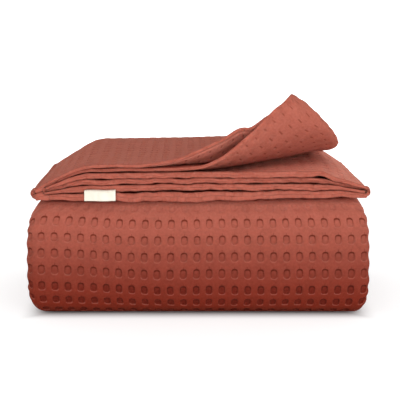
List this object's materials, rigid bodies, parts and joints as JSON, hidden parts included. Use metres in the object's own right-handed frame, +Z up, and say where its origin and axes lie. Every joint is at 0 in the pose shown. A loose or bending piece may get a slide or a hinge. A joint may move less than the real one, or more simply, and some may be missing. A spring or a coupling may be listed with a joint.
{
  "type": "folded waffle weave cotton blanket",
  "caption": "Cotton blanket in a large-celled waffle weave, folded into a square-cornered pile with its hems at the front and one upper corner rolled back; it lies on any flat surface.",
  "frame": {"origin": "centre of the footprint, on the surface the pile lies on", "axes": "+X to the right along the front, +Y from the front hems to the back turns, +Z up"},
  "size_m": [0.3998, 0.3029, 0.2625],
  "materials": {
    "waffle_cotton": "terracotta cotton in a waffle weave, matt with a soft nap",
    "woven_label": "cream woven tape, bare, with a faint satin sheen"
  },
  "bodies": {
    "root": {"blanket": "waffle_cotton", "label": "woven_label"}
  },
  "joints": []
}
